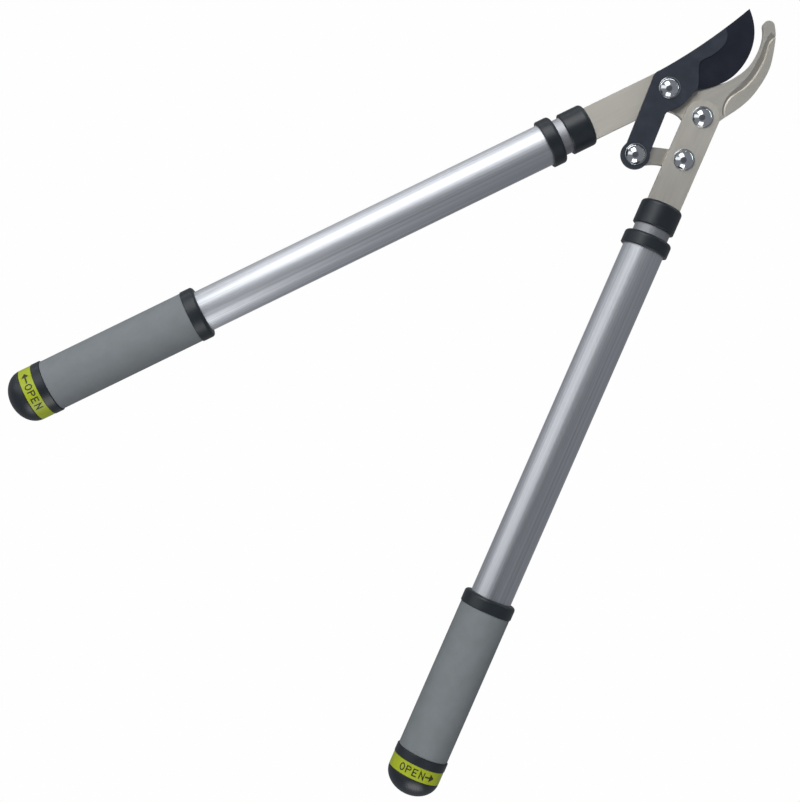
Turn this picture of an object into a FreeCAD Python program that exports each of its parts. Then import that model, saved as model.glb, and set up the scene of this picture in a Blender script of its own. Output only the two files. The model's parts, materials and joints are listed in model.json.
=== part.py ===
"""Telescopic bypass lopper with a compound (lever and link) cutting head.

The tool lies flat on its grips.  +Z points up, away from the surface it lies on, +Y points
from the grips towards the jaws along the line halfway between the two handles, and +X
points to the right-hand handle.  All sizes are in millimetres.

The head is built about the handle pivot, where the right tang turns on the hook plate, and
each handle about its own axis, which starts at the tip of its end cap.  At the end the whole
tool is moved so that the origin is below the middle of its bounding box, on the surface.
"""
import FreeCAD
import Part
import math
import os

V = FreeCAD.Vector

# ---------------------------------------------------------------- driving dimensions
HALF_SPREAD = 20.17          # degrees from +Y to each handle, jaws part open

PLATE = 5.0                  # thickness of blade, hook plate, tang and link
LAYER_GAP = 0.2              # between the front plates and the rear plates
FRONT = (LAYER_GAP / 2, LAYER_GAP / 2 + PLATE)        # blade and right tang
REAR = (-LAYER_GAP / 2 - PLATE, -LAYER_GAP / 2)       # hook plate and link

# Pivots, in the plane of the plates, from the handle pivot.
HANDLE_PIVOT = (0.0, 0.0)
BLADE_PIVOT = (-33.1, -1.3)
BLADE_TAIL = 56.0            # blade pivot to tail pivot
TAIL_ANGLE = -73.2           # direction of the tail from +X
TANG_LINK = 35.0             # handle pivot to link pivot, down the right tang

# Fasteners, M8 throughout.
HOLE_R = 4.0
SHANK_R = 3.95
HEAD_R = 8.1
HEAD_H = 5.0
WASHER_T = 1.6
NUT_AF = 13.0
NUT_H = 8.0
BOLT_TAIL = 1.5              # thread showing past the nut
SEAT_GAP = 0.1               # between a head or washer and a plate that turns under it
OPEN_HOLE_R = 5.95           # the link's eye at the tail pivot is worn-in wide

# Stations along each handle, from the tip of the end cap towards the head.
CAP_END = 15.2
BAND_END = 25.5
FLANGE_END = 32.2
SLEEVE_END = 149.8
COLLAR_END = 159.9
BUSH_START = 446.1
BUSH_END = 456.9
FERRULE_START = 463.7
FERRULE_END = 482.9
LEFT_REACH = 548.6           # cap tip to the point beside the blade pivot
RIGHT_REACH = 554.9          # cap tip to the handle pivot
LEFT_OFFSET = 3.0            # blade pivot to the left handle's axis
STROKE = 270.0               # how far each grip slides out

# Radii along each handle.
OUTER_R = 16.0
OUTER_BORE = 14.8
INNER_R = 14.0
INNER_BORE = 12.8
SLIDE_GAP = 0.1              # running clearance of the guide bush and the tang slots
FIT_GAP = 0.05               # glued and pressed joints
CAP_R = 20.2
CAP_FLAT_R = 6.5
BAND_R = 20.25
FLANGE_R = 20.55
SLEEVE_R = 19.7
COLLAR_R = 20.4
CORE_R = 17.5
BUSH_R = 18.5
FERRULE_R = 16.2

# Tangs, across the handle axis.
TANG_HALF = 13.0
LEFT_TANG_HIGH = 12.4        # the left tang's outer edge
SHANK_HALF = 10.5            # where a tang narrows to enter the inner tube
TANG_BOTTOM = 443.0
SHOULDER = 478.8
TUBE_TOP = 477.3
TUBE_BOTTOM = 112.0
OUTER_TUBE = (15.7, 453.2)
RIVET_AT = 470.0
RIVET_R = 2.5

# Twist lock inside each handle.
STUD_R = 4.0
STUD = (64.0, 130.0)
STOP_R = 7.5
STOP_T = 4.0
EXPANDER = (68.3, 100.0)
EXPANDER_R = 14.75
SEAT = (80.0, 6.6, 11.6)     # start of the tapered seat, and its radius there and at the end
CONE = (84.5, 103.0)
CONE_GAP = 0.2
KEY_W = 1.4
SLOT_W = 1.6
LOCK_PLUG = (110.0, 136.0)


# ---------------------------------------------------------------- helpers
def flat(point):
    """A point (x, y) of a plate's outline."""
    return V(point[0], point[1], 0)


def turned(point):
    """A point (radius, station) of a turned part's outline."""
    return V(point[0], 0, point[1])


def path(start, steps, place=flat, close=True):
    """A wire from start through steps: one point is a straight line, two an arc, more a curve."""
    edges = []
    here = start
    for step in steps:
        points = [place(p) for p in [here] + step]
        if len(points) == 2:
            edges.append(Part.makeLine(*points))
        elif len(points) == 3:
            edges.append(Part.Arc(*points).toShape())
        else:
            curve = Part.BSplineCurve()
            curve.interpolate(points)
            edges.append(curve.toShape())
        here = step[-1]
    if close and (place(here) - place(start)).Length > 1e-6:
        edges.append(Part.makeLine(place(here), place(start)))
    return Part.Wire(edges)


def plate(wire, layer):
    """A flat plate of a layer's thickness."""
    body = Part.Face(wire).extrude(V(0, 0, layer[1] - layer[0]))
    body.translate(V(0, 0, layer[0]))
    return body


def revolve(start, steps):
    """A turned part about the handle axis from its half section."""
    return Part.Face(path(start, steps, turned)).revolve(V(0, 0, 0), V(0, 0, 1), 360)


def pipe(r_in, r_out, low, high):
    """A plain round tube between two stations."""
    return revolve((r_in, low), [[(r_out, low)], [(r_out, high)], [(r_in, high)]])


def rod(radius, low, high, centre=(0.0, 0.0)):
    """A plain cylinder along Z."""
    return Part.makeCylinder(radius, high - low, V(centre[0], centre[1], low))


def block(x, y, z):
    """A box between the given lowest and highest values."""
    return Part.makeBox(x[1] - x[0], y[1] - y[0], z[1] - z[0], V(x[0], y[0], z[0]))


def drill(body, centre, radius, layer):
    """A hole through a plate."""
    return body.cut(rod(radius, layer[0] - 1, layer[1] + 1, centre))


def hollow(low_curve, high_curve):
    """A cutting tool that takes away everything above a surface ruled between two curves."""
    curves = []
    for points in (low_curve, high_curve):
        curve = Part.BSplineCurve()
        curve.interpolate([V(*p) for p in points])
        curves.append(curve.toShape())
    return Part.makeRuledSurface(*curves).extrude(V(0, 0, 20))


def around(centre, radius, degrees):
    """The point on a circle at an angle from +X."""
    angle = math.radians(degrees)
    return (centre[0] + radius * math.cos(angle), centre[1] + radius * math.sin(angle))


# ---------------------------------------------------------------- frames of the two handles
def direction(side):
    """Unit vector up a handle, from its cap to the head."""
    angle = math.radians(HALF_SPREAD)
    lean = -1 if side == "right" else 1
    return (lean * math.sin(angle), math.cos(angle))


def cap_tip(side):
    """Where a handle's axis starts, at the tip of its end cap."""
    ux, uy = direction(side)
    if side == "right":
        return (HANDLE_PIVOT[0] - RIGHT_REACH * ux, HANDLE_PIVOT[1] - RIGHT_REACH * uy)
    x = BLADE_PIVOT[0] - LEFT_OFFSET * uy - LEFT_REACH * ux
    y = BLADE_PIVOT[1] + LEFT_OFFSET * ux - LEFT_REACH * uy
    return (x, y)


def on_handle(side, station, across=0.0):
    """A point of the head's plane given along and across a handle."""
    ux, uy = direction(side)
    x0, y0 = cap_tip(side)
    return (x0 + station * ux - across * uy, y0 + station * uy + across * ux)


def seat_on_handle(side, body):
    """Move a part built about Z to its handle, with its own Y turned up."""
    ux, uy = direction(side)
    x0, y0 = cap_tip(side)
    matrix = FreeCAD.Matrix(-uy, 0, ux, x0,
                            ux, 0, uy, y0,
                            0, 1, 0, 0,
                            0, 0, 0, 1)
    moved = body.copy()
    moved.Placement = FreeCAD.Placement(matrix).multiply(body.Placement)
    return moved


TAIL_PIVOT = around(BLADE_PIVOT, BLADE_TAIL, TAIL_ANGLE)
LINK_PIVOT = on_handle("right", RIGHT_REACH - TANG_LINK)


# ---------------------------------------------------------------- cutting head
def blade():
    """Bypass blade with its tail lever: flat behind, hollow ground in front."""
    tip = (-31.0, 84.8)
    heel = (-16.2, 13.8)
    outline = path((-47.5, 3.2), [
        [(-38.25, 38.4), tip],
        [(-22.0, 79.9), (-13.7, 72.1), (-7.9, 62.1), (-4.7, 49.9), (-5.1, 36.3),
         (-9.7, 24.2), heel],
        [(-17.8, 9.8), (-17.1, 5.5)],
        [(-17.2, -1.4), (-18.7, -7.8), (-21.0, -12.8)],
        [(-21.8, -16.2), (-20.8, -19.6)],
        [(-11.9, -41.8)],
        [(-10.9, -43.8), around(TAIL_PIVOT, 10.9, 50)],
        [around(TAIL_PIVOT, 10.9, -60), around(TAIL_PIVOT, 10.9, 169)],
        [(-47.2, -4.6)],
        [(-48.5, -0.8), (-47.5, 3.2)],
    ])
    body = plate(outline, FRONT)
    top = FRONT[1]
    ground = hollow(
        [(-31.6, 87.2, 0.3), (-21.1, 80.9, 0.3), (-12.7, 72.8, 0.3), (-6.9, 62.6, 0.3),
         (-3.7, 49.9, 0.3), (-4.1, 36.1, 0.3), (-8.8, 23.7, 0.3), (-15.6, 13.4, 0.6)],
        [(-36.0, 60.5, top - 0.2), (-30.2, 58.3, top - 0.4), (-26.6, 53.2, top - 0.6),
         (-25.9, 46.0, top - 0.7), (-27.6, 37.0, top - 0.8), (-30.0, 29.6, top - 1.0),
         (-24.8, 21.6, top - 1.6), (-17.6, 12.6, top - 2.4)])
    body = body.cut(ground)
    body = drill(body, BLADE_PIVOT, HOLE_R, FRONT)
    return drill(body, TAIL_PIVOT, HOLE_R, FRONT)


def hook_plate():
    """Hook that holds the branch, one piece with the plate of the pivots and the left tang."""
    tip = (-11.2, 85.7)
    tip_r = 4.4
    outline = path(on_handle("left", TANG_BOTTOM, SHANK_HALF), [
        [on_handle("left", SHOULDER, SHANK_HALF)],
        [on_handle("left", SHOULDER, LEFT_TANG_HIGH)],
        [around(BLADE_PIVOT, LEFT_TANG_HIGH + LEFT_OFFSET, 90 + 90 - HALF_SPREAD)],
        [around(BLADE_PIVOT, LEFT_TANG_HIGH + LEFT_OFFSET, 110),
         around(BLADE_PIVOT, LEFT_TANG_HIGH + LEFT_OFFSET, 72)],
        [(-21.8, 15.2), (-15.6, 18.9), (-10.6, 24.4), (-6.7, 30.1), (-3.0, 40.0),
         (-1.2, 49.6), (-1.6, 58.8), (-4.1, 68.0), (-7.9, 75.7), around(tip, tip_r, 224)],
        [around(tip, tip_r, 134), around(tip, tip_r, 44)],
        [(-2.0, 83.4), (4.2, 75.0), (10.7, 64.2), (14.8, 50.3), (16.3, 36.0), (14.5, 22.2),
         (12.4, 13.4), around(HANDLE_PIVOT, 12.5, 25)],
        [around(HANDLE_PIVOT, 12.5, -40), around(HANDLE_PIVOT, 12.5, -108)],
        [(-9.4, -10.4), (-14.9, -10.3), (-19.6, -11.9), (-25.4, -15.0),
         on_handle("left", LEFT_REACH - 20.0, -TANG_HALF)],
        [on_handle("left", SHOULDER, -TANG_HALF)],
        [on_handle("left", SHOULDER, -SHANK_HALF)],
        [on_handle("left", TANG_BOTTOM, -SHANK_HALF)],
    ])
    body = plate(outline, REAR)
    top = REAR[1]
    rim = [(-7.0, 83.5), (-5.6, 76.5), (-1.8, 67.5), (1.6, 57.0), (3.4, 46.5), (3.2, 36.5),
           (2.6, 28.0), (4.2, 20.3), (9.5, 13.0)]
    floor = [(-2.0, 84.0, 1.2), (-2.6, 77.0, 1.3), (1.6, 68.9, 1.5), (5.6, 57.8, 1.5),
             (7.4, 46.5, 1.4), (6.6, 36.0, 1.2), (4.7, 27.0, 1.0), (6.0, 20.0, 0.8),
             (11.5, 13.2, 0.6)]
    far_rim = [(-0.6, 84.4), (-1.5, 77.2), (2.6, 69.4), (6.7, 58.1), (8.5, 46.5), (7.7, 35.8),
               (5.9, 27.2), (7.0, 20.7), (12.2, 14.3)]
    bottom = [(x, y, top - depth) for x, y, depth in floor]
    for side in (rim, far_rim):
        body = body.cut(hollow([(x, y, top + 0.02) for x, y in side], bottom))
    body = drill(body, BLADE_PIVOT, HOLE_R, REAR)
    body = drill(body, HANDLE_PIVOT, HOLE_R, REAR)
    return drill(body, on_handle("left", RIVET_AT), RIVET_R + FIT_GAP, REAR)


def right_tang():
    """Straight bar of the right handle, rounded about the handle pivot."""
    ahead = 90 + HALF_SPREAD
    outline = path(on_handle("right", TANG_BOTTOM, SHANK_HALF), [
        [on_handle("right", SHOULDER, SHANK_HALF)],
        [on_handle("right", SHOULDER, TANG_HALF)],
        [around(HANDLE_PIVOT, TANG_HALF, ahead + 90)],
        [around(HANDLE_PIVOT, TANG_HALF, ahead), around(HANDLE_PIVOT, TANG_HALF, ahead - 90)],
        [on_handle("right", SHOULDER, -TANG_HALF)],
        [on_handle("right", SHOULDER, -SHANK_HALF)],
        [on_handle("right", TANG_BOTTOM, -SHANK_HALF)],
    ])
    body = plate(outline, FRONT)
    body = drill(body, HANDLE_PIVOT, HOLE_R, FRONT)
    body = drill(body, LINK_PIVOT, HOLE_R, FRONT)
    return drill(body, on_handle("right", RIVET_AT), RIVET_R + FIT_GAP, FRONT)


def link():
    """Dog-bone link behind the head, from the blade's tail to the right tang."""
    eye = 9.2
    waist = 6.4
    bow = 1.5
    length = math.dist(TAIL_PIVOT, LINK_PIVOT)
    lean = math.degrees(math.atan2(LINK_PIVOT[1] - TAIL_PIVOT[1], LINK_PIVOT[0] - TAIL_PIVOT[0]))
    middle = length / 2
    outline = path(around((0, 0), eye, 55), [
        [(middle, waist + bow), around((length, 0), eye, 125)],
        [around((length, 0), eye, 0), around((length, 0), eye, -125)],
        [(middle, bow - waist), around((0, 0), eye, -55)],
        [around((0, 0), eye, 180), around((0, 0), eye, 55)],
    ])
    body = plate(outline, REAR)
    body = drill(body, (0, 0), OPEN_HOLE_R, REAR)
    body = drill(body, (length, 0), HOLE_R, REAR)
    body.rotate(V(0, 0, 0), V(0, 0, 1), lean)
    body.translate(V(TAIL_PIVOT[0], TAIL_PIVOT[1], 0))
    return body


def bolt(centre):
    """Dome-headed pivot bolt, with a short full-diameter flange under the dome."""
    seat = FRONT[1] + SEAT_GAP
    end = REAR[0] - SEAT_GAP - WASHER_T - NUT_H - BOLT_TAIL
    rim = 0.8
    dome_h = HEAD_H - rim
    dome_r = (HEAD_R ** 2 + dome_h ** 2) / (2 * dome_h)
    shoulder = (HEAD_R * 0.6, seat + HEAD_H - dome_r + math.sqrt(dome_r ** 2 - (HEAD_R * 0.6) ** 2))
    body = revolve((0, end), [
        [(SHANK_R - 0.6, end)],
        [(SHANK_R, end + 0.6)],
        [(SHANK_R, seat)],
        [(HEAD_R - 0.3, seat)],
        [(HEAD_R, seat + 0.3)],
        [(HEAD_R, seat + rim)],
        [shoulder, (0, seat + HEAD_H)],
    ])
    body.translate(V(centre[0], centre[1], 0))
    return body


def washer(centre):
    """Flat washer behind the rear plate."""
    low = REAR[0] - SEAT_GAP - WASHER_T
    body = pipe(HOLE_R + 0.2, HEAD_R, low, low + WASHER_T)
    body.translate(V(centre[0], centre[1], 0))
    return body


def nut(centre):
    """Hexagonal lock nut with a round nylon collar."""
    high = REAR[0] - SEAT_GAP - WASHER_T
    low = high - NUT_H
    corner = NUT_AF / math.sqrt(3)
    corners = [around((0, 0), corner, 60 * k) for k in range(6)]
    hexagon = path(corners[0], [[c] for c in corners[1:]])
    body = plate(hexagon, (low + 2.0, high))
    cone = Part.makeCone(corner + 3.2, corner - 0.4, 6.0, V(0, 0, high), V(0, 0, -1))
    body = body.common(cone)
    body = body.fuse(rod(NUT_AF / 2 - 0.5, low, low + 2.5))
    body = body.cut(rod(HOLE_R, low - 1, high + 1))
    body.translate(V(centre[0], centre[1], 0))
    return body


# ---------------------------------------------------------------- handle parts, built about Z
def tang_layer(side):
    """The layer that a side's tang lies in."""
    return FRONT if side == "right" else REAR


def tang_slot(side, half, low, high):
    """The space that a tang and its clearance take, seen up the handle."""
    layer = tang_layer(side)
    return block((-half - SLIDE_GAP, half + SLIDE_GAP),
                 (layer[0] - SLIDE_GAP, layer[1] + SLIDE_GAP), (low, high))


def ferrule(side):
    """Moulded cap that closes the inner tube around the tang."""
    bore = INNER_R + FIT_GAP
    floor = TUBE_TOP + FIT_GAP
    round_r = 3.0
    lip = 0.8
    body = revolve((bore, FERRULE_START), [
        [(FERRULE_R - lip, FERRULE_START)],
        [(FERRULE_R - 0.3 * lip, FERRULE_START + 0.3 * lip), (FERRULE_R, FERRULE_START + lip)],
        [(FERRULE_R, FERRULE_END - round_r)],
        [(FERRULE_R - 0.3 * round_r, FERRULE_END - 0.3 * round_r),
         (FERRULE_R - round_r, FERRULE_END)],
        [(0, FERRULE_END)],
        [(0, floor)],
        [(bore, floor)],
    ])
    return body.cut(tang_slot(side, TANG_HALF, floor - 1, FERRULE_END + 1))


def tang_plug(side):
    """Plug that centres the tang in the inner tube."""
    body = rod(INNER_BORE - FIT_GAP, TANG_BOTTOM - 4, TUBE_TOP - 0.5)
    body = body.cut(tang_slot(side, SHANK_HALF, TANG_BOTTOM - 0.5, TUBE_TOP))
    return body.cut(cross_pin(RIVET_R + FIT_GAP, INNER_R))


def cross_pin(radius, reach):
    """A pin across the handle, square to the plates."""
    return Part.makeCylinder(radius, 2 * reach, V(0, -reach, RIVET_AT), V(0, 1, 0))


def inner_tube():
    """Thin tube that slides in the outer one, with a round hole for the rivet."""
    body = pipe(INNER_BORE, INNER_R, TUBE_BOTTOM, TUBE_TOP)
    return body.cut(cross_pin(RIVET_R + FIT_GAP, INNER_R + 1))


def tang_rivet():
    """Steel pin through inner tube, plug and tang, just below the tube's surface."""
    return cross_pin(RIVET_R, INNER_R - 0.3)


def lock_plug():
    """Plug in the lower end of the inner tube that carries the lock's stud."""
    flange = 2.0
    body = revolve((STUD_R + FIT_GAP, LOCK_PLUG[0]), [
        [(INNER_R - 0.1, LOCK_PLUG[0])],
        [(INNER_R - 0.1, LOCK_PLUG[0] + flange)],
        [(INNER_BORE - FIT_GAP, LOCK_PLUG[0] + flange)],
        [(INNER_BORE - FIT_GAP, LOCK_PLUG[1])],
        [(STUD_R + FIT_GAP, LOCK_PLUG[1])],
    ])
    return body


def lock_stud():
    """Threaded stud, drawn at its outer diameter, with the stop that holds the expander."""
    return revolve((0, STUD[0]), [
        [(STOP_R, STUD[0])],
        [(STOP_R, STUD[0] + STOP_T)],
        [(STUD_R, STUD[0] + STOP_T)],
        [(STUD_R, STUD[1])],
        [(0, STUD[1])],
    ])


def expander():
    """Split plastic sleeve that grips the outer tube's bore when the cone spreads it."""
    low, high = EXPANDER
    seat_low, seat_r, mouth_r = SEAT
    body = revolve((STUD_R + SLIDE_GAP, low), [
        [(EXPANDER_R - 0.8, low)],
        [(EXPANDER_R, low + 0.8)],
        [(EXPANDER_R, high)],
        [(mouth_r, high)],
        [(seat_r, seat_low)],
        [(STUD_R + SLIDE_GAP, seat_low)],
    ])
    for turn in (0, 90):
        cut = block((-20, 20), (-SLOT_W / 2, SLOT_W / 2), (seat_low - 3, high + 1))
        cut.rotate(V(0, 0, 0), V(0, 0, 1), turn)
        body = body.cut(cut)
    return body


def cone_nut():
    """Cone that runs on the stud's thread and is keyed into the expander's slots."""
    low, high = CONE
    seat_low, seat_r, mouth_r = SEAT
    slope = (mouth_r - seat_r) / (EXPANDER[1] - seat_low)
    foot = seat_r + slope * (low - seat_low) - CONE_GAP
    brim = mouth_r - CONE_GAP
    bore = STUD_R + FIT_GAP
    body = revolve((bore, low), [
        [(foot, low)],
        [(brim, EXPANDER[1])],
        [(brim, high)],
        [(bore, high)],
    ])
    key = block((-13.5, 13.5), (-KEY_W / 2, KEY_W / 2), (low + 4, high - 3))
    return body.fuse(key.cut(rod(bore, low, high)))


def outer_tube():
    """Aluminium outer tube from the end cap to the guide bush."""
    return pipe(OUTER_BORE, OUTER_R, *OUTER_TUBE)


def guide_bush():
    """Collar on the mouth of the outer tube, with a skirt that guides the inner tube."""
    bore = INNER_R + SLIDE_GAP
    round_r = 2.6
    corner = 0.3 * round_r
    lip = 0.7
    skirt_low = BUSH_START - 28
    return revolve((bore, skirt_low), [
        [(OUTER_BORE - FIT_GAP, skirt_low)],
        [(OUTER_BORE - FIT_GAP, OUTER_TUBE[1] + FIT_GAP)],
        [(OUTER_R + FIT_GAP, OUTER_TUBE[1] + FIT_GAP)],
        [(OUTER_R + FIT_GAP, BUSH_START)],
        [(BUSH_R - lip, BUSH_START)],
        [(BUSH_R - 0.3 * lip, BUSH_START + 0.3 * lip), (BUSH_R, BUSH_START + lip)],
        [(BUSH_R, BUSH_END - round_r)],
        [(BUSH_R - corner, BUSH_END - corner), (BUSH_R - round_r, BUSH_END)],
        [(bore + 0.5, BUSH_END)],
        [(bore, BUSH_END - 0.5)],
    ])


def grip_core():
    """Hard sleeve on the outer tube with the flange and the collar that frame the grip."""
    bore = OUTER_R + FIT_GAP
    seat = BAND_R - 1.9
    round_r = 2.4
    corner = 0.3 * round_r
    return revolve((bore, CAP_END + FIT_GAP), [
        [(seat, CAP_END + FIT_GAP)],
        [(seat, BAND_END)],
        [(FLANGE_R - 0.3, BAND_END)],
        [(FLANGE_R, BAND_END + 0.3)],
        [(FLANGE_R, FLANGE_END - 0.3)],
        [(FLANGE_R - 0.3, FLANGE_END)],
        [(CORE_R, FLANGE_END)],
        [(CORE_R, SLEEVE_END)],
        [(COLLAR_R - 0.3, SLEEVE_END)],
        [(COLLAR_R, SLEEVE_END + 0.3)],
        [(COLLAR_R, COLLAR_END - round_r)],
        [(COLLAR_R - corner, COLLAR_END - corner), (COLLAR_R - round_r, COLLAR_END)],
        [(bore, COLLAR_END)],
    ])


def grip_sleeve():
    """Soft grip moulded over the core."""
    low = FLANGE_END + FIT_GAP
    high = SLEEVE_END - FIT_GAP
    break_r = 0.5
    return revolve((CORE_R + FIT_GAP, low), [
        [(SLEEVE_R - break_r, low)],
        [(SLEEVE_R, low + break_r)],
        [(SLEEVE_R, high - break_r)],
        [(SLEEVE_R - break_r, high)],
        [(CORE_R + FIT_GAP, high)],
    ])


def direction_band():
    """Coloured ring below the grip that carries the unlocking arrow."""
    inner = BAND_R - 1.9 + FIT_GAP
    return pipe(inner, BAND_R, CAP_END + FIT_GAP, BAND_END - FIT_GAP)


def end_cap():
    """Domed end cap with a small moulded flat and a hollow spigot in the outer tube."""
    depth = CAP_END / math.sqrt(1 - (CAP_FLAT_R / CAP_R) ** 2)
    wall = 2.6
    spigot_r = OUTER_BORE - FIT_GAP
    spigot_high = 42.0

    def dome(radius, scale_r=CAP_R, scale_s=depth):
        return CAP_END - scale_s * math.sqrt(1 - (radius / scale_r) ** 2)

    outside = [(r, dome(r)) for r in (11.0, 15.0, 18.0, 19.6)] + [(CAP_R, CAP_END)]
    inside = [(r, dome(r, CAP_R - wall, depth - wall)) for r in (11.0, 7.5, 4.0, 0.0)]
    return revolve((0, 0), [
        [(CAP_FLAT_R, 0)],
        outside,
        [(spigot_r, CAP_END)],
        [(spigot_r, spigot_high)],
        [(spigot_r - wall, spigot_high)],
        [(spigot_r - wall, dome(spigot_r - wall, CAP_R - wall, depth - wall))],
        inside,
        [(0, 0)],
    ])


# ---------------------------------------------------------------- the whole tool
def handle_parts(side):
    """Every piece of one handle, in place."""
    built = {
        "ferrule": ferrule(side),
        "tang_plug": tang_plug(side),
        "tang_rivet": tang_rivet(),
        "inner_tube": inner_tube(),
        "lock_plug": lock_plug(),
        "lock_stud": lock_stud(),
        "expander": expander(),
        "cone_nut": cone_nut(),
        "outer_tube": outer_tube(),
        "guide_bush": guide_bush(),
        "grip_core": grip_core(),
        "grip_sleeve": grip_sleeve(),
        "direction_band": direction_band(),
        "end_cap": end_cap(),
    }
    return {side + "_" + name: seat_on_handle(side, body) for name, body in built.items()}


def build():
    """All nodes by name, about the handle pivot."""
    nodes = {
        "blade": blade(),
        "hook_plate": hook_plate(),
        "right_tang": right_tang(),
        "link": link(),
    }
    pivots = {"blade_pivot": BLADE_PIVOT, "handle_pivot": HANDLE_PIVOT,
              "tail_pivot": TAIL_PIVOT, "link_pivot": LINK_PIVOT}
    for name, centre in pivots.items():
        nodes[name + "_bolt"] = bolt(centre)
        nodes[name + "_washer"] = washer(centre)
        nodes[name + "_nut"] = nut(centre)
    for side in ("left", "right"):
        nodes.update(handle_parts(side))
    return nodes


def base_shift(nodes):
    """The move that puts the origin under the middle of the bounding box."""
    box = FreeCAD.BoundBox()
    for body in nodes.values():
        box.add(body.optimalBoundingBox(False, False))
    return V(-(box.XMin + box.XMax) / 2, -(box.YMin + box.YMax) / 2, -box.ZMin)


NODES = build()
SHIFT = base_shift(NODES)
os.makedirs("parts", exist_ok=True)
for node, shape in NODES.items():
    shape.translate(SHIFT)
    shape.exportStep("parts/" + node + ".step")
print(len(NODES), "nodes, handle pivot at", [round(c, 2) for c in SHIFT])
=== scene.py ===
# %% [markdown]
# # A telescopic bypass lopper on a white table
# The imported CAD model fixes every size, place and joint of the tool.  This lesson keeps it as the
# frame and gives each visible piece its real surface: turned plastics and tubes with softened
# corners, steel plates with broken edges, polished pivot bolts with real threads, a printed legend,
# and one material for each finish.  The order is measure, shape, finish, then light.

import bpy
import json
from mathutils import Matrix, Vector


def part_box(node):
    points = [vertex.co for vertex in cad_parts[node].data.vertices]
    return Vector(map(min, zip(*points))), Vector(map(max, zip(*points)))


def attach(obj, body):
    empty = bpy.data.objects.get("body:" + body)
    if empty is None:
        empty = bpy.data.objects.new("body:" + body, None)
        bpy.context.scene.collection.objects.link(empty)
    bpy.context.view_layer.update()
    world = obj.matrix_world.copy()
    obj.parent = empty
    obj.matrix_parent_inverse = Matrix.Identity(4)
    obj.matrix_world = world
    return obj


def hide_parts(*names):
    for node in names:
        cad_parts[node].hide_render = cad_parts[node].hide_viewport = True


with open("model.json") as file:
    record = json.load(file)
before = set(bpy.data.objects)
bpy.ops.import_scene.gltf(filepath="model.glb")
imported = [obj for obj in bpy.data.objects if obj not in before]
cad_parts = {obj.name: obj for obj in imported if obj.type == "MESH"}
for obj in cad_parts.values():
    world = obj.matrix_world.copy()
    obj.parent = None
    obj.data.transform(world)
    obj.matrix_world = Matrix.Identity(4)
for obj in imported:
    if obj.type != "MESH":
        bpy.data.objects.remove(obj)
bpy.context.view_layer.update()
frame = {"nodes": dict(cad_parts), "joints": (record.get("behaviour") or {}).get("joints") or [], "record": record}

# %% [markdown]
# Everything below is written in millimetres and turned to metres at the last step, because the
# drawing of a hand tool is in millimetres and Blender's unit is the metre.  The record says which
# body each node moves with and which finish it has, so both are looked up and never typed again.

# %% Units and look-up tables
import json
import math

import bmesh
import bpy
import numpy as np

MM = 0.001
UP = np.array([0.0, 0.0, 1.0])
nodes = frame["nodes"]
joints = {joint["name"]: joint for joint in frame["joints"]}
finish_of = {row["node"]: row["material_slot"] for row in frame["record"]["subparts"]}
body_of = {node: body for body, members in frame["record"]["behaviour"]["bodies"].items()
           for node in members}

# %% [markdown]
# Each handle is a stack of turned parts on one axis, so its pieces are easiest to draw in that
# axis's own terms: a radius, and a station counted from the tip of the end cap.  The slide joint
# gives the direction of the axis, and the CAD end cap gives where the stations start.

# %% Measure the two handles
def points_of(node):
    """The vertices of a CAD node at rest, one row of x, y and z for each, in metres."""
    mesh = nodes[node].data
    values = np.empty(3 * len(mesh.vertices))
    mesh.vertices.foreach_get("co", values)
    return values.reshape(-1, 3)


def handle_axis(side):
    """A handle's axis: the point at station zero, the direction to the head, and the one across."""
    along = -np.array(joints[side + "_extend"]["axis"], float)
    along /= np.linalg.norm(along)
    through = np.array(joints[side + "_twist"]["pos_m"], float)
    lowest = ((points_of(side + "_end_cap") - through) @ along).min()
    return through + lowest * along, along, np.cross(UP, along)


def span(side, name):
    """The lowest station, highest station and largest radius of a handle's piece, in mm."""
    start, along, _ = handles[side]
    offset = (points_of(f"{side}_{name}") - start) / MM
    station = offset @ along
    radius = np.linalg.norm(offset - np.outer(station, along), axis=1)
    return station.min(), station.max(), radius.max()


handles = {side: handle_axis(side) for side in ("left", "right")}
for side in handles:
    print(side, "outer tube, stations and radius:", np.round(span(side, "outer_tube"), 2))

# %% [markdown]
# A turned or moulded part never has a perfectly sharp corner: the tool's nose, the mould and the
# tumbling barrel all round it.  That small round is what catches the light along a rim, so every
# corner of a profile carries its own rounding radius.  An arc tangent to both sides replaces it.

# %% Round the corners of a profile
ARC_STEPS = 6


def soften(corners, closed=True):
    """A profile with rounded corners, from rows of radius, station and rounding, in mm.

    The arc touches both sides at rounding / tan(h) from the corner, where h is half the angle
    between the sides.  Its centre is on the bisector, rounding / sin(h) away.  Points on the arc
    are blends of its first and last spoke by sines of the swept angle.
    """
    flat = np.array([corner[:2] for corner in corners], float)
    stretches = []
    for i, here in enumerate(flat):
        rounding = corners[i][2]
        if rounding == 0 or (not closed and i in (0, len(flat) - 1)):
            stretches.append(here[None])
            continue
        back = flat[i - 1] - here
        ahead = flat[(i + 1) % len(flat)] - here
        back /= np.linalg.norm(back)
        ahead /= np.linalg.norm(ahead)
        half = 0.5 * math.acos(np.clip(back @ ahead, -1, 1))
        bisector = (back + ahead) / np.linalg.norm(back + ahead)
        centre = here + bisector * rounding / math.sin(half)
        reach = rounding / math.tan(half)
        first = here + back * reach - centre
        last = here + ahead * reach - centre
        sweep = math.pi - 2 * half
        part = np.linspace(0, 1, ARC_STEPS + 1)[:, None]
        spokes = (np.sin((1 - part) * sweep) * first + np.sin(part * sweep) * last) / math.sin(sweep)
        stretches.append(centre + spokes)
    return np.vstack(stretches)


print("a square with rounded corners has", len(soften([(0, 0, 1), (9, 0, 1), (9, 9, 1), (0, 9, 1)])),
      "points")

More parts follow.
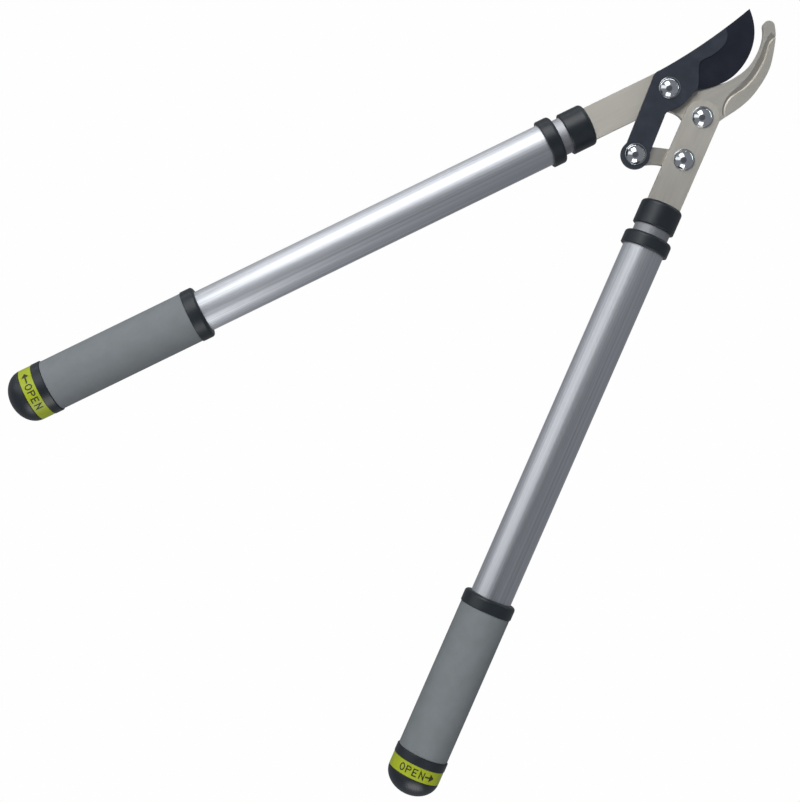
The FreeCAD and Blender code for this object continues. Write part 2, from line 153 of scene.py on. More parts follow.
# %% [markdown]
# The profile is then carried round the axis.  Blender's Spin tool or a Screw modifier would do the
# same by hand; here the whole grid of points is one numpy expression, so a hexagon or a thread is
# only one more term in the radius.

# %% Carry a profile round an axis
SEGMENTS = 120


def turn(profile, axis, closed=True, shape=None):
    """Points and faces of a profile carried round an axis.

    Point (i, j) is start + along * station_i + radius_ij * (across * cos a_j + side * sin a_j),
    with a_j = 2 pi j / SEGMENTS.  shape(radius, station, angle) may change the radius.
    """
    start, along, across = axis
    angle = np.linspace(0, 2 * np.pi, SEGMENTS, endpoint=False)
    ring = np.outer(np.cos(angle), across) + np.outer(np.sin(angle), np.cross(along, across))
    radius = np.repeat(profile[:, :1], SEGMENTS, axis=1)
    station = np.repeat(profile[:, 1:], SEGMENTS, axis=1)
    if shape is not None:
        radius = shape(radius, station, angle)
    points = start + MM * (station[..., None] * along + radius[..., None] * ring)
    rows = len(profile)
    i, j = np.meshgrid(np.arange(rows if closed else rows - 1), np.arange(SEGMENTS), indexing="ij")
    near, far = i * SEGMENTS, (i + 1) % rows * SEGMENTS
    after = (j + 1) % SEGMENTS
    faces = np.stack([near + j, near + after, far + after, far + j], axis=-1)
    return points.reshape(-1, 3), faces.reshape(-1, 4)


# %% [markdown]
# Every new piece ends the same way.  Points that fall together, as at a pole, are merged; faces are
# turned outwards; edges sharper than about a third of a right angle stay crisp; and weighted
# normals keep broad faces flat beside their narrow rounds.  The piece then rides on the body of the
# CAD node that it stands for.

# %% Make a finished piece
CRISP = math.radians(35)
POLE_WELD = 0.0005           # points this close are one point


def settle(mesh, grid):
    """Merges, orients and smooths a bmesh grid into a mesh."""
    bmesh.ops.remove_doubles(grid, verts=grid.verts, dist=POLE_WELD * MM)
    bmesh.ops.recalc_face_normals(grid, faces=grid.faces)
    grid.to_mesh(mesh)
    grid.free()
    mesh.shade_smooth()
    mesh.set_sharp_from_angle(angle=CRISP)


def stand_for(node, mesh, name):
    """An object with this mesh that has a CAD node's finish and moves with its body."""
    piece = bpy.data.objects.new(name, mesh)
    bpy.context.scene.collection.objects.link(piece)
    weighted = piece.modifiers.new("broad faces stay flat", "WEIGHTED_NORMAL")
    weighted.keep_sharp = True
    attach(piece, body_of[node])
    return piece


def mesh_of(name, points, faces):
    """Turns arrays of points and faces into a settled mesh."""
    mesh = bpy.data.meshes.new(name)
    mesh.from_pydata(points.tolist(), [], [list(face) for face in faces])
    grid = bmesh.new()
    grid.from_mesh(mesh)
    settle(mesh, grid)
    return mesh


def make_piece(node, points, faces):
    """The piece that replaces a CAD node, from arrays of points and faces."""
    piece = stand_for(node, mesh_of(node, points, faces), node + "_finished")
    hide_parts(node)
    return piece


pieces = {}

# %% [markdown]
# ## The moulded and drawn parts of a handle
# From the bottom up a handle is: a domed end cap, a coloured band, a hard core whose flange and
# collar frame the soft sleeve, the outer tube, and a guide bush on its mouth.  The real ones are
# injection moulded, apart from the tube, which is drawn aluminium.

# %% End caps
FIT = 0.05                   # gap of a glued or pressed joint
CAP_FLAT = 6.5               # the small moulded flat at the tip
CAP_WALL = 2.6
TUBE_WALL = 1.2
GATE = (2.2, 0.5)            # radius and depth of the dimple left by the mould's gate
DOME_STEPS = 28


def cap_profile(side):
    """Domed cap with a hollow spigot.

    The dome is an ellipse: radius R sin a, station end - D cos a, from the edge of the flat to the
    rim.  The inside is the same ellipse less the wall.
    """
    _, spigot_end, radius = span(side, "end_cap")
    end = span(side, "direction_band")[0] - FIT
    spigot = span(side, "outer_tube")[2] - TUBE_WALL - FIT
    depth = end / math.sqrt(1 - (CAP_FLAT / radius) ** 2)
    outside = np.linspace(math.asin(CAP_FLAT / radius), math.pi / 2, DOME_STEPS)[1:-1]
    inside = np.linspace(math.asin((spigot - CAP_WALL) / (radius - CAP_WALL)), 0, DOME_STEPS)
    dome = [(radius * math.sin(a), end - depth * math.cos(a), 0) for a in outside]
    hollow = [((radius - CAP_WALL) * math.sin(a), end - (depth - CAP_WALL) * math.cos(a), 0)
              for a in inside]
    return soften([(0, GATE[1], 0), (GATE[0], GATE[1], 0.2), (GATE[0] + 0.4, 0, 0.2),
                   (CAP_FLAT, 0, 0.9), *dome, (radius, end, 0.5), (spigot, end, 0.3),
                   (spigot, spigot_end, 0.5), (spigot - CAP_WALL, spigot_end, 0.5), *hollow],
                  closed=False)


for side, axis in handles.items():
    name = side + "_end_cap"
    pieces[name] = make_piece(name, *turn(cap_profile(side), axis, closed=False))
    print(name, len(pieces[name].data.vertices), "vertices")

# %% [markdown]
# The other parts are closed loops: a bore, an outside and two ends.  A list of corners for each is
# short enough to read like a drawing.  The band and its neighbours have rounded edges, so that a
# narrow groove shows on both sides of the colour, as between two real mouldings.

# %% Bands, cores, sleeves, tubes and bushes
BAND_WALL = 1.85
SLEEVE_BED = 17.5            # the core's radius under the soft sleeve
COLLAR_STEP = 0.15           # how much less the collar's radius is than the flange's
BUSH_HEIGHT = 10.8           # the part of the bush that shows
LINER = 0.7                  # what the bush's skirt takes of the radius inside the tube


def ring_profiles(side):
    """The closed profiles of a handle's turned parts, by name, as radius, station and rounding."""
    band_low, band_high, band = span(side, "direction_band")
    core_low, core_high, flange = span(side, "grip_core")
    sleeve_low, sleeve_high, sleeve = span(side, "grip_sleeve")
    tube_low, tube_high, tube = span(side, "outer_tube")
    inner_low, inner_high, inner = span(side, "inner_tube")
    skirt_low, bush_high, bush = span(side, "guide_bush")
    mouth = bush_high - BUSH_HEIGHT
    slide = tube - TUBE_WALL - LINER
    core_bore = tube + FIT
    seat = band - BAND_WALL - FIT
    collar = flange - COLLAR_STEP
    return {
        "direction_band": [(seat + FIT, band_low, 0.1), (band, band_low, 0.35),
                           (band, band_high, 0.35), (seat + FIT, band_high, 0.1)],
        "grip_core": [(core_bore, core_low, 0.2), (seat, core_low, 0.2), (seat, band_high, 0),
                      (flange, band_high + FIT, 0.45), (flange, sleeve_low - FIT, 0.4),
                      (SLEEVE_BED, sleeve_low - FIT, 0), (SLEEVE_BED, sleeve_high + FIT, 0),
                      (collar, sleeve_high + FIT, 0.4), (collar, core_high, 2.4),
                      (core_bore, core_high, 0.3)],
        "grip_sleeve": [(SLEEVE_BED + FIT, sleeve_low, 0), (sleeve, sleeve_low, 0.5),
                        (sleeve, sleeve_high, 0.5), (SLEEVE_BED + FIT, sleeve_high, 0)],
        "outer_tube": [(tube - TUBE_WALL, tube_low, 0.2), (tube, tube_low, 0.3),
                       (tube, tube_high, 0.3), (tube - TUBE_WALL, tube_high, 0.2)],
        "inner_tube": [(inner - TUBE_WALL, inner_low, 0.2), (inner, inner_low, 0.3),
                       (inner, inner_high, 0.3), (inner - TUBE_WALL, inner_high, 0.2)],
        "guide_bush": [(slide, skirt_low, 0.1), (tube - TUBE_WALL - FIT, skirt_low, 0.3),
                       (tube - TUBE_WALL - FIT, tube_high + FIT, 0), (tube + FIT, tube_high + FIT, 0),
                       (tube + FIT, mouth, 0.2), (bush, mouth, 0.7), (bush, bush_high, 2.6),
                       (slide, bush_high, 0.5)],
    }


for side, axis in handles.items():
    for part, corners in ring_profiles(side).items():
        name = f"{side}_{part}"
        pieces[name] = make_piece(name, *turn(soften(corners), axis))
        print(name, len(pieces[name].data.vertices), "vertices")

# %% [markdown]
# ## The fasteners
# Four M8 bolts carry the head.  Each has a polished dome on a thin flange, a washer behind the rear
# plate and a lock nut with a nylon collar.  The dome is part of a sphere, which is what gives the
# small clear reflections of the lamps.  The bolt's tail has a thread: its radius dips once per pitch
# and the dip moves round by one turn per pitch.

# %% Pivot bolts
HEAD = 5.0                   # height of flange and dome
FLANGE = 0.9
DOME_R = 7.55                # radius where the dome meets the flange
SHANK = 3.95
PITCH = 1.25
THREAD_DEPTH = 0.6
THREADED = 3.0               # the stretch of thread that can be seen past the nut
TAIL_CHAMFER = 0.6           # its width and its height
THREAD_ROWS = 16             # rows of points for one pitch


def fastener_axis(node):
    """A vertical axis through the middle of a fastener, with station zero on the ground."""
    low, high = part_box(node)
    return np.array([(low.x + high.x) / 2, (low.y + high.y) / 2, 0.0]), UP, np.array([1.0, 0, 0])


def size_of(name):
    """The lowest and highest point of a fastener and its radius, in mm."""
    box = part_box(name)
    return box[0].z / MM, box[1].z / MM, (box[1].x - box[0].x) / 2 / MM


def bolt_profile(low, high, head):
    """Threaded tail, plain shank, thin flange and a dome that is part of a sphere."""
    seat = high - HEAD
    rise = HEAD - FLANGE
    ball = (DOME_R ** 2 + rise ** 2) / (2 * rise)
    tail = [(SHANK, low + TAIL_CHAMFER + step, 0)
            for step in np.arange(0, THREADED, PITCH / THREAD_ROWS)]
    dome = [(ball * math.sin(a), high - ball * (1 - math.cos(a)), 0)
            for a in np.linspace(math.asin(DOME_R / ball), 0, DOME_STEPS)]
    edge = [(SHANK, seat, 0), (head, seat, 0.25), (head, seat + FLANGE, 0.35)]
    return soften([(0, low, 0), (SHANK - TAIL_CHAMFER, low, 0), *tail, *edge, *dome], closed=False)


def thread_above(low):
    """A shape that cuts a round-bottomed thread into the tail, fading out where it ends."""
    def cut(radius, station, angle):
        depth = np.clip((low + TAIL_CHAMFER + THREADED - station) / PITCH, 0, 1)
        wave = 0.5 - 0.5 * np.cos(2 * np.pi * station / PITCH - angle)
        on_tail = (radius == SHANK) & (station < low + TAIL_CHAMFER + THREADED)
        return np.where(on_tail, radius - THREAD_DEPTH * depth * wave, radius)
    return cut


pivots = [node[:-len("_bolt")] for node in nodes if node.endswith("_bolt")]
for pivot in pivots:
    name = pivot + "_bolt"
    low, high, head = size_of(name)
    pieces[name] = make_piece(name, *turn(bolt_profile(low, high, head), fastener_axis(name), False,
                                          thread_above(low)))
    print(name, "head", round(2 * head, 1), "mm across")

# %% [markdown]
# A hexagon is a circle cut by six flats: its radius at any angle is the flat's distance divided by
# the cosine of the angle from the middle of that flat.  Taking the smaller of that and the turned
# profile gives the chamfer's curved edges for nothing.

# %% Washers and lock nuts
ACROSS_FLATS = 13.0
COLLAR_H = 2.0               # nylon collar below the hexagon
CHAMFER_ROWS = 7
NUT_BORE, WASHER_BORE = 4.0, 4.2      # radii


def hexagon(radius, station, angle):
    """The smaller of the turned radius and the hexagon's."""
    from_flat = np.mod(angle, math.pi / 3) - math.pi / 6
    return np.minimum(radius, ACROSS_FLATS / 2 / np.cos(from_flat))


def washer_profile(low, high, radius):
    """A stamped ring with rounded edges."""
    return soften([(WASHER_BORE, low, 0.2), (radius, low, 0.3), (radius, high, 0.3),
                   (WASHER_BORE, high, 0.2)])


def nut_profile(low, high):
    """Bore, chamfered hexagon and round collar; the chamfers have several rows to bend along."""
    corner = ACROSS_FLATS / math.sqrt(3)
    cone = np.linspace(ACROSS_FLATS / 2 - 0.1, corner + 0.05, CHAMFER_ROWS)
    top = [(r, high - 0.5 * (r - cone[0]), 0) for r in cone]
    under = [(r, low + COLLAR_H + 0.5 * (r - cone[0]), 0) for r in cone[::-1]]
    collar = ACROSS_FLATS / 2 - 0.5
    return soften([(NUT_BORE, high, 0.2), *top, *under, (collar, low + COLLAR_H, 0),
                   (collar, low, 0.7), (NUT_BORE, low, 0.3)])


for pivot in pivots:
    name = pivot + "_washer"
    pieces[name] = make_piece(name, *turn(washer_profile(*size_of(name)), fastener_axis(name)))
    name = pivot + "_nut"
    low, high, _ = size_of(name)
    pieces[name] = make_piece(name, *turn(nut_profile(low, high), fastener_axis(name), shape=hexagon))
print(len(pieces), "pieces so far")

# %% [markdown]
# ## The steel plates
# Blade, hook, tang and link are blanked from 5 mm sheet and tumbled, which breaks the edges.  Their
# outlines are already right in the CAD model, so a copy of each is merged, its flat facets are
# dissolved, and only the long rims get a rounded edge.  The cutting edge and the ground faces are
# left as sharp as they are.

# %% Break the edges of the plates
RIM_STEPS = 4
RIM_WALL = 3.0               # lower walls, as of a groove, keep their edges
GENTLE = math.radians(6)     # from here on, the border of a level face is a real line
LEVEL = 0.999                # a face whose normal is this close to vertical lies flat
UPRIGHT = 0.03               # and one whose normal rises less than this stands upright
SAME_POINT = 0.002           # facets of a CAD mesh share points this close
SAME_PLANE = math.radians(0.3)
HOLE_ZONE = 6.5              # rims this close to a pivot are hidden by its head or washer
pivot_centres = [fastener_axis(pivot + "_bolt")[0][:2] for pivot in pivots]


def is_rim(edge):
    """Whether an edge lies between a level face and a high enough upright one."""
    if len(edge.link_faces) != 2:
        return False
    level, wall = sorted(edge.link_faces, key=lambda face: -abs(face.normal.z))
    if abs(level.normal.z) < LEVEL or abs(wall.normal.z) > UPRIGHT:
        return False
    heights = [vert.co.z for vert in wall.verts]
    if max(heights) - min(heights) < RIM_WALL * MM:
        return False
    middle = (edge.verts[0].co + edge.verts[1].co) / 2
    return min(math.dist(middle.xy, centre) for centre in pivot_centres) > HOLE_ZONE * MM


def is_line(edge):
    """Whether an edge is a real corner, and not only a border between facets of a curved face."""
    if len(edge.link_faces) != 2:
        return False
    angle = edge.calc_face_angle()
    level = any(abs(face.normal.z) > LEVEL for face in edge.link_faces)
    return angle > CRISP or (level and angle > GENTLE)


def broken_edges(node, rounding):
    """A merged copy of a CAD plate with its rims rounded."""
    grid = bmesh.new()
    grid.from_mesh(nodes[node].data)
    bmesh.ops.remove_doubles(grid, verts=grid.verts, dist=SAME_POINT * MM)
    bmesh.ops.dissolve_limit(grid, angle_limit=SAME_PLANE, verts=grid.verts, edges=grid.edges)
    bmesh.ops.recalc_face_normals(grid, faces=grid.faces)
    rims = [edge for edge in grid.edges if is_rim(edge)]
    for edge in grid.edges:
        edge.smooth = not is_line(edge)
    for edge in rims:
        edge.smooth = True
    bmesh.ops.bevel(grid, geom=rims, offset=rounding * MM, segments=RIM_STEPS, profile=0.5,
                    affect="EDGES", clamp_overlap=True)
    mesh = bpy.data.meshes.new(node)
    grid.to_mesh(mesh)
    grid.free()
    mesh.shade_smooth()
    piece = stand_for(node, mesh, node + "_finished")
    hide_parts(node)
    print(node, len(rims), "rim edges,", len(mesh.polygons), "faces")
    return piece


for name, rounding in {"blade": 0.35, "hook_plate": 0.7, "right_tang": 0.8, "link": 0.6}.items():
    pieces[name] = broken_edges(name, rounding)

# %% [markdown]
# ## The printed legend
# The lime band tells the user which way to twist the grip to free the lock.  Pad printing leaves a
# film of ink with plain strokes.  Each stroke is a ribbon: a path in the flat, offset to both sides
# by half its width, given a little height, and wrapped on the band.

# %% Ribbons wrapped on a band
INK = 0.08                   # how far the ink stands proud
SUNK = 0.25                  # how far the ribbon reaches into the band
STEP = 0.4                   # longest piece of path, so that it follows the curve
SHARPEST = 0.35              # cosine of half the turn, past which a corner is cut short


def dense(path):
    """The path with extra points, no two further apart than STEP, its own corners kept."""
    path = np.array(path, float)
    parts = [np.linspace(a, b, 2 + int(np.linalg.norm(b - a) / STEP))[:-1]
             for a, b in zip(path[:-1], path[1:])]
    return np.vstack(parts + [path[-1:]])


def ribbon(path, width, taper=1.0):
    """Points (x, y, height) and faces of a stroke, its width shrinking to taper times itself.

    Each point moves by half the width along the normal of the mean direction, divided by the
    cosine of half the turn, which keeps the stroke's width round a corner.
    """
    path = dense(path)
    steps = np.diff(path, axis=0)
    steps /= np.linalg.norm(steps, axis=1)[:, None]
    closed = np.allclose(path[0], path[-1])
    before = np.vstack([steps[-1:] if closed else steps[:1], steps])
    after = np.vstack([steps, steps[:1] if closed else steps[-1:]])
    mean = before + after
    mean /= np.linalg.norm(mean, axis=1)[:, None]
    mitre = 1 / np.maximum((mean * after).sum(axis=1), SHARPEST)
    normal = np.stack([-mean[:, 1], mean[:, 0]], axis=1)
    half = 0.5 * width * np.linspace(1, taper, len(path)) * mitre
    left, right = path + normal * half[:, None], path - normal * half[:, None]
    section = [np.column_stack([edge, np.full(len(path), height)])
               for edge, height in ((left, -SUNK), (right, -SUNK), (right, INK), (left, INK))]
    points = np.stack(section, axis=1).reshape(-1, 3)
    i, j = np.meshgrid(np.arange(len(path) - 1), np.arange(4), indexing="ij")
    faces = np.stack([4 * i + j, 4 * i + (j + 1) % 4, 4 * i + 4 + (j + 1) % 4, 4 * i + 4 + j], -1)
    ends = [] if closed else [[0, 1, 2, 3], [len(points) - 1 - k for k in range(4)]]
    return points, faces.reshape(-1, 4).tolist() + ends


print("a 5 mm stroke has", len(ribbon([(0, 0), (5, 0)], 0.8)[0]), "points")

# %% [markdown]
# A letter is one or two such strokes through the middle lines of a plain block alphabet, and a
# bowl is half a circle.  The arrow is a thin stroke and a wide one that shrinks to a point.

# %% Letters and arrow
STROKE = 0.9
TALL, WIDE = 2.5, 1.65       # half height and half width of a letter's middle lines
turn_round = np.linspace(0, 2 * np.pi, 33)
bowl = [(0.5 + 1.15 * math.cos(a), 1.25 + 1.15 * math.sin(a))
        for a in np.linspace(math.pi / 2, -math.pi / 2, 12)]
LETTERS = {
    "O": [list(zip(1.75 * np.sin(turn_round), TALL * np.cos(turn_round)))],
    "P": [[(-WIDE, -TALL - 0.3), (-WIDE, TALL), *bowl, (-WIDE + 0.4, 0.1)]],
    "E": [[(WIDE, TALL), (-WIDE, TALL), (-WIDE, -TALL), (WIDE, -TALL)], [(-WIDE + 0.4, 0), (1.1, 0)]],
    "N": [[(-WIDE, -TALL - 0.3), (-WIDE, TALL), (WIDE, -TALL), (WIDE, TALL + 0.3)]],
}
SPACING = 5.5
WORD = "OPEN"
SHAFT = 1.2                  # width of the arrow's shaft
ARROW_LENGTH, ARROW_WIDTH = 4.0, 6.0
POINT = 0.04                 # the share of that width left at the point
LAYOUT = {"left": (-3.9, -7.2, -16.6), "right": (-12.6, 6.8, 14.6)}   # first letter, tail, tip


def legend(side):
    """The word and the arrow beside it, wrapped on a band.

    x runs round the band in the reading direction and y up the handle.  A point goes to
    start + along * (middle + y) + (R + height) * (up * cos b - across * sin b), with b = x / R.
    """
    first, tail, tip = LAYOUT[side]
    point_way = math.copysign(1.0, tip - tail)
    neck = tip - ARROW_LENGTH * point_way
    strokes = [ribbon([(x + first + SPACING * k, y) for x, y in path], STROKE)
               for k, letter in enumerate(WORD) for path in LETTERS[letter]]
    strokes += [ribbon([(tail, 0), (neck, 0)], SHAFT),
                ribbon([(neck, 0), (tip, 0)], ARROW_WIDTH, taper=POINT)]
    low, high, radius = span(side, "direction_band")
    start, along, across = handles[side]
    points, faces = [], []
    for flat, loops in strokes:
        base = sum(len(part) for part in points)
        bend = flat[:, 0] / radius
        out = np.outer(np.cos(bend), UP) - np.outer(np.sin(bend), across)
        points.append(start + MM * (((low + high) / 2 + flat[:, 1:2]) * along
                                    + (radius + flat[:, 2:3]) * out))
        faces += [[base + k for k in loop] for loop in loops]
    return np.vstack(points), faces


for side in handles:
    points, faces = legend(side)
    pieces[side + "_legend"] = stand_for(side + "_direction_band",
                                         mesh_of(side + "_legend", points, faces), side + "_legend")
    print(side, "legend,", len(faces), "faces")

# %% [markdown]
# ## The direction of the brushing
# The tubes are drawn and the plates are ground along their length, so their highlights stretch
# across them.  The shader needs to know which way is across.  A UV map tells it: U runs across the
# piece, or round it, and V along it, both in metres.

# %% Map the drawn and ground pieces
def corners_of(mesh):
    """The point and the face centre of every face corner of a mesh."""
    points = np.empty(3 * len(mesh.vertices))
    mesh.vertices.foreach_get("co", points)
    vertex = np.empty(len(mesh.loops), int)
    mesh.loops.foreach_get("vertex_index", vertex)
    centres = np.empty(3 * len(mesh.polygons))
    mesh.polygons.foreach_get("center", centres)
    count = np.empty(len(mesh.polygons), int)
    mesh.polygons.foreach_get("loop_total", count)
    return points.reshape(-1, 3)[vertex], np.repeat(centres.reshape(-1, 3), count, axis=0)


def map_along(mesh, axis, radius=None):
    """A UV map across and along an axis, or round and along it when a radius is given.

    Round the axis, every corner's angle is taken near its own face's, so that no face spans the
    place where the angle starts again.
    """
    start, along, across = axis
    corner, centre = (points - start for points in corners_of(mesh))
    if radius is None:
        u = corner @ across
    else:
        side = np.cross(along, across)
        angle, middle = (np.arctan2(p @ side, p @ across) for p in (corner, centre))
        u = radius * MM * (middle + (angle - middle + np.pi) % (2 * np.pi) - np.pi)
    layer = mesh.uv_layers.new(name="across_and_along")
    layer.data.foreach_set("uv", np.column_stack([u, corner @ along]).ravel())


for side, axis in handles.items():
    for part in ("outer_tube", "inner_tube"):
        map_along(pieces[f"{side}_{part}"].data, axis, span(side, part)[2])
link_way = np.diff([fastener_axis(pivot + "_bolt")[0] for pivot in ("tail_pivot", "link_pivot")],
                   axis=0)[0]
link_way /= np.linalg.norm(link_way)
map_along(pieces["hook_plate"].data, handles["left"])
map_along(pieces["right_tang"].data, handles["right"])
map_along(pieces["link"].data, (handles["right"][0], link_way, np.cross(UP, link_way)))
print("mapped", sum(bool(piece.data.uv_layers) for piece in pieces.values()), "pieces")

# %% [markdown]
# ## The finishes
# A material is easiest to believe when it starts from what the real one is.  Colours are written as
# sRGB hex, the way a paint card gives them, and one function turns them to the linear values that
# the renderer adds up.  One more function adds a node with its settings and links.

# %% Colours and nodes
def linear(colour):
    """Linear red, green, blue and alpha from an sRGB hex colour."""
    values = [int(colour[k:k + 2], 16) / 255 for k in (1, 3, 5)]
    return [v / 12.92 if v <= 0.04045 else ((v + 0.055) / 1.055) ** 2.4 for v in values] + [1.0]


def add(tree, kind, inputs=None, **settings):
    """Adds a node; inputs gives its sockets a value, or a link from another socket."""
    node = tree.nodes.new(kind)
    for name, value in settings.items():
        setattr(node, name, value)
    for name, value in (inputs or {}).items():
        if isinstance(value, bpy.types.NodeSocket):
            tree.links.new(value, node.inputs[name])
        else:
            node.inputs[name].default_value = value
    return node


def new_material(name, **sockets):
    """A material and its node tree, with values set on the main shader's own sockets."""
    material = bpy.data.materials.new(name)
    material.use_nodes = True
    shader = material.node_tree.nodes["Principled BSDF"]
    for socket, value in sockets.items():
        shader.inputs[socket].default_value = value
    return material, material.node_tree, shader


# %% [markdown]
# Most finishes here share one recipe: a fine grain that tilts the surface a little, a broad mottle
# that shifts the colour and the gloss a little, and nothing regular.  The grain's width and height
# are real sizes.  Where the true grain is finer than the render can show, it is drawn about as wide
# as can be seen.

# %% Grain and mottle
def grained(name, dark, light, grain, height, mottle, rough, stretch=None, **sockets):
    """A material with a fine grain and a broad mottle, all sizes in mm.

    grain and height are the width and depth of the relief, mottle the width of the cloudy
    variation between the dark and the light colour, and rough the range of roughness over it.
    stretch makes the grain and the mottle that many times as long along the UV map's V, and lets
    the highlight follow U.
    """
    material, tree, shader = new_material(name, **sockets)
    place = add(tree, "ShaderNodeTexCoord").outputs["Object" if stretch is None else "UV"]
    if stretch is not None:
        place = add(tree, "ShaderNodeMapping", {"Vector": place, "Scale": (1, 1 / stretch, 1)}).outputs[0]
        across = add(tree, "ShaderNodeTangent", direction_type="UV_MAP", uv_map="across_and_along")
        tree.links.new(across.outputs[0], shader.inputs["Tangent"])
    relief = add(tree, "ShaderNodeTexNoise", {
        "Vector": place, "Scale": 1 / (grain * MM), "Detail": 2.0, "Roughness": 0.55})
    cloud = add(tree, "ShaderNodeTexNoise", {
        "Vector": place, "Scale": 1 / (mottle * MM), "Detail": 4.0, "Roughness": 0.6})
    ramp = add(tree, "ShaderNodeMapRange", {
        "Value": cloud.outputs["Fac"], "From Min": 0.3, "From Max": 0.7})
    colour = add(tree, "ShaderNodeMix", {
        "Factor": ramp.outputs[0], "A": linear(dark), "B": linear(light)}, data_type="RGBA")
    gloss = add(tree, "ShaderNodeMapRange", {
        "Value": cloud.outputs["Fac"], "From Min": 0.3, "From Max": 0.7,
        "To Min": rough[0], "To Max": rough[1]})
    bump = add(tree, "ShaderNodeBump", {
        "Height": relief.outputs["Fac"], "Distance": height * MM, "Strength": 1.0})
    tree.links.new(colour.outputs["Result"], shader.inputs["Base Color"])
    tree.links.new(gloss.outputs[0], shader.inputs["Roughness"])
    tree.links.new(bump.outputs[0], shader.inputs["Normal"])
    return material


# %% [markdown]
# The blade is carbon steel with a sprayed non-stick coating.  The coating is a filled polymer, so
# it is not a metal to the light: blue-black, matt, with a faint orange peel.

# %% Blade coating
coating = grained("sprayed_ptfe_coating", "#23272F", "#2A2F39", grain=0.9, height=0.006,
                  mottle=9.0, rough=(0.40, 0.48), IOR=1.38)

# %% [markdown]
# The hollow-ground face behind the edge has the same coating in a darker colour: painted shade, because that face
# leans away from the lamps.

# %% Painted shade on the ground face of the blade
ground = grained("coating_with_painted_shade_on_ground_face", "#161923", "#1B1E29", grain=0.9, height=0.004,
                 mottle=9.0, rough=(0.40, 0.48), IOR=1.38)

# %% [markdown]
# Hook, tang and link are steel ground along their length and nickel plated, which makes the metal
# satin and slightly warm.

# %% Satin nickel
nickel = grained("ground_nickel_plate", "#C8C4BB", "#CFCBC2", grain=0.9, height=0.004,
                 mottle=2.0, rough=(0.44, 0.50), stretch=14.0, Metallic=1.0, Anisotropic=0.6)

# %% [markdown]
# The pivot domes are polished and chromed.  Chrome has almost no texture of its own; what shows in
# it is the room.

# %% Chrome and zinc
chrome = grained("polished_chrome_plate", "#C9CDD2", "#D2D6DA", grain=3.0, height=0.001,
                 mottle=4.0, rough=(0.11, 0.14), Metallic=1.0)
zinc = grained("bright_zinc_plate", "#B5BBC2", "#C6C9CB", grain=0.8, height=0.006,
               mottle=3.0, rough=(0.25, 0.38), Metallic=1.0)

# %% [markdown]
# The tubes are drawn through a die and clear anodised.  Drawing leaves faint straight lines from end to end,
# coarser here than the real ones so that they show.  The inner tube is a little rougher and has a darker colour,
# which is painted shade for the gap under the guide bush where it sits.

# %% Anodised tubes
aluminium = grained("anodised_drawn_aluminium", "#B6B9BE", "#DADDE2", grain=1.1, height=0.004,
                    mottle=1.6, rough=(0.36, 0.42), stretch=300.0, Metallic=1.0, Anisotropic=0.75)
# The inner tube's darker colour is painted shade for the gap it sits in.
shaded_inner_tube = grained("inner_tube_with_painted_shade", "#A0A2A6", "#ACAEB2", grain=1.1, height=0.004,
               mottle=2.5, rough=(0.40, 0.48), stretch=300.0, Metallic=1.0, Anisotropic=0.8)

# %% [markdown]
# The mouldings are dark blue-grey nylon from a spark-eroded mould, which leaves a fine even pebble.
# The grip is a soft rubber, quite matt.  The band is a smooth bright plastic.

# %% Plastics and rubber
nylon = grained("spark_textured_nylon", "#13191E", "#181F25", grain=0.9, height=0.006,
                mottle=14.0, rough=(0.36, 0.43), IOR=1.5)
rubber = grained("soft_touch_rubber", "#666B6D", "#6D7275", grain=0.9, height=0.018,
                 mottle=11.0, rough=(0.72, 0.82), IOR=1.5)
lime = grained("lime_polypropylene", "#8D9A10", "#97A418", grain=1.6, height=0.003,
               mottle=6.0, rough=(0.38, 0.46), IOR=1.49)
acetal = grained("natural_acetal", "#DAD8CF", "#E4E2DA", grain=1.2, height=0.004,
                 mottle=8.0, rough=(0.40, 0.50), IOR=1.48)
ink = grained("pad_printing_ink", "#23240F", "#2C2D14", grain=0.7, height=0.003,
              mottle=2.0, rough=(0.50, 0.60), IOR=1.5)

# %% [markdown]
# Now each piece gets its finish.  The record's slot decides it, and the legend has its own ink.
# The blade's ground faces lean a little, which tells them from its flats and from its edges; they get the darker
# colour, which is painted shade.

# %% Put the finishes on
LEANING = 0.9                # a ground face's normal rises at least this much
finishes = {"black_coating": coating, "satin_steel": nickel, "chrome": chrome, "zinc_steel": zinc,
            "aluminium": aluminium, "dark_plastic": nylon, "grey_grip": rubber,
            "lime_plastic": lime, "natural_plastic": acetal}
for node, thing in nodes.items():
    if node in pieces:
        # The inner tubes take the finish with the painted shade.
        finish = shaded_inner_tube if node.endswith("inner_tube") else finishes[finish_of[node]]
        pieces[node].data.materials.append(finish)
    else:
        for place in thing.material_slots:
            place.material = finishes[finish_of[node]]
for side in handles:
    pieces[side + "_legend"].data.materials.append(ink)
blade_mesh = pieces["blade"].data
blade_mesh.materials.append(ground)
# The ground faces take the darker coating, painted shade for their lean away from the lamps.
for face in blade_mesh.polygons:
    if LEANING < face.normal.z < LEVEL and min(
            math.dist(face.center.xy, centre) for centre in pivot_centres) > HOLE_ZONE * MM:
        face.material_index = 1
print("finishes:", len(bpy.data.materials), "materials in the file")

# %% [markdown]
# ## The studio
# The tool lies on a white table in even light, so the ground stays white to the edge of the frame.
# The floor and the backdrop only show to the camera; the light on the tool comes from the boxes
# and from the room's grey.  The floor is seen from above only, so the back of the tool can be
# looked at too.  The round dark card is the other way about: it shows only in what is polished, as
# the dim ceiling over the table.

# %% Floor and backdrop
FLOOR_SIZE = 6.0
FLOOR_DROP = 0.0006          # just below the grips, so that nothing is coplanar
CARD_HEIGHT = 1.3
CARD_RADIUS = 0.75


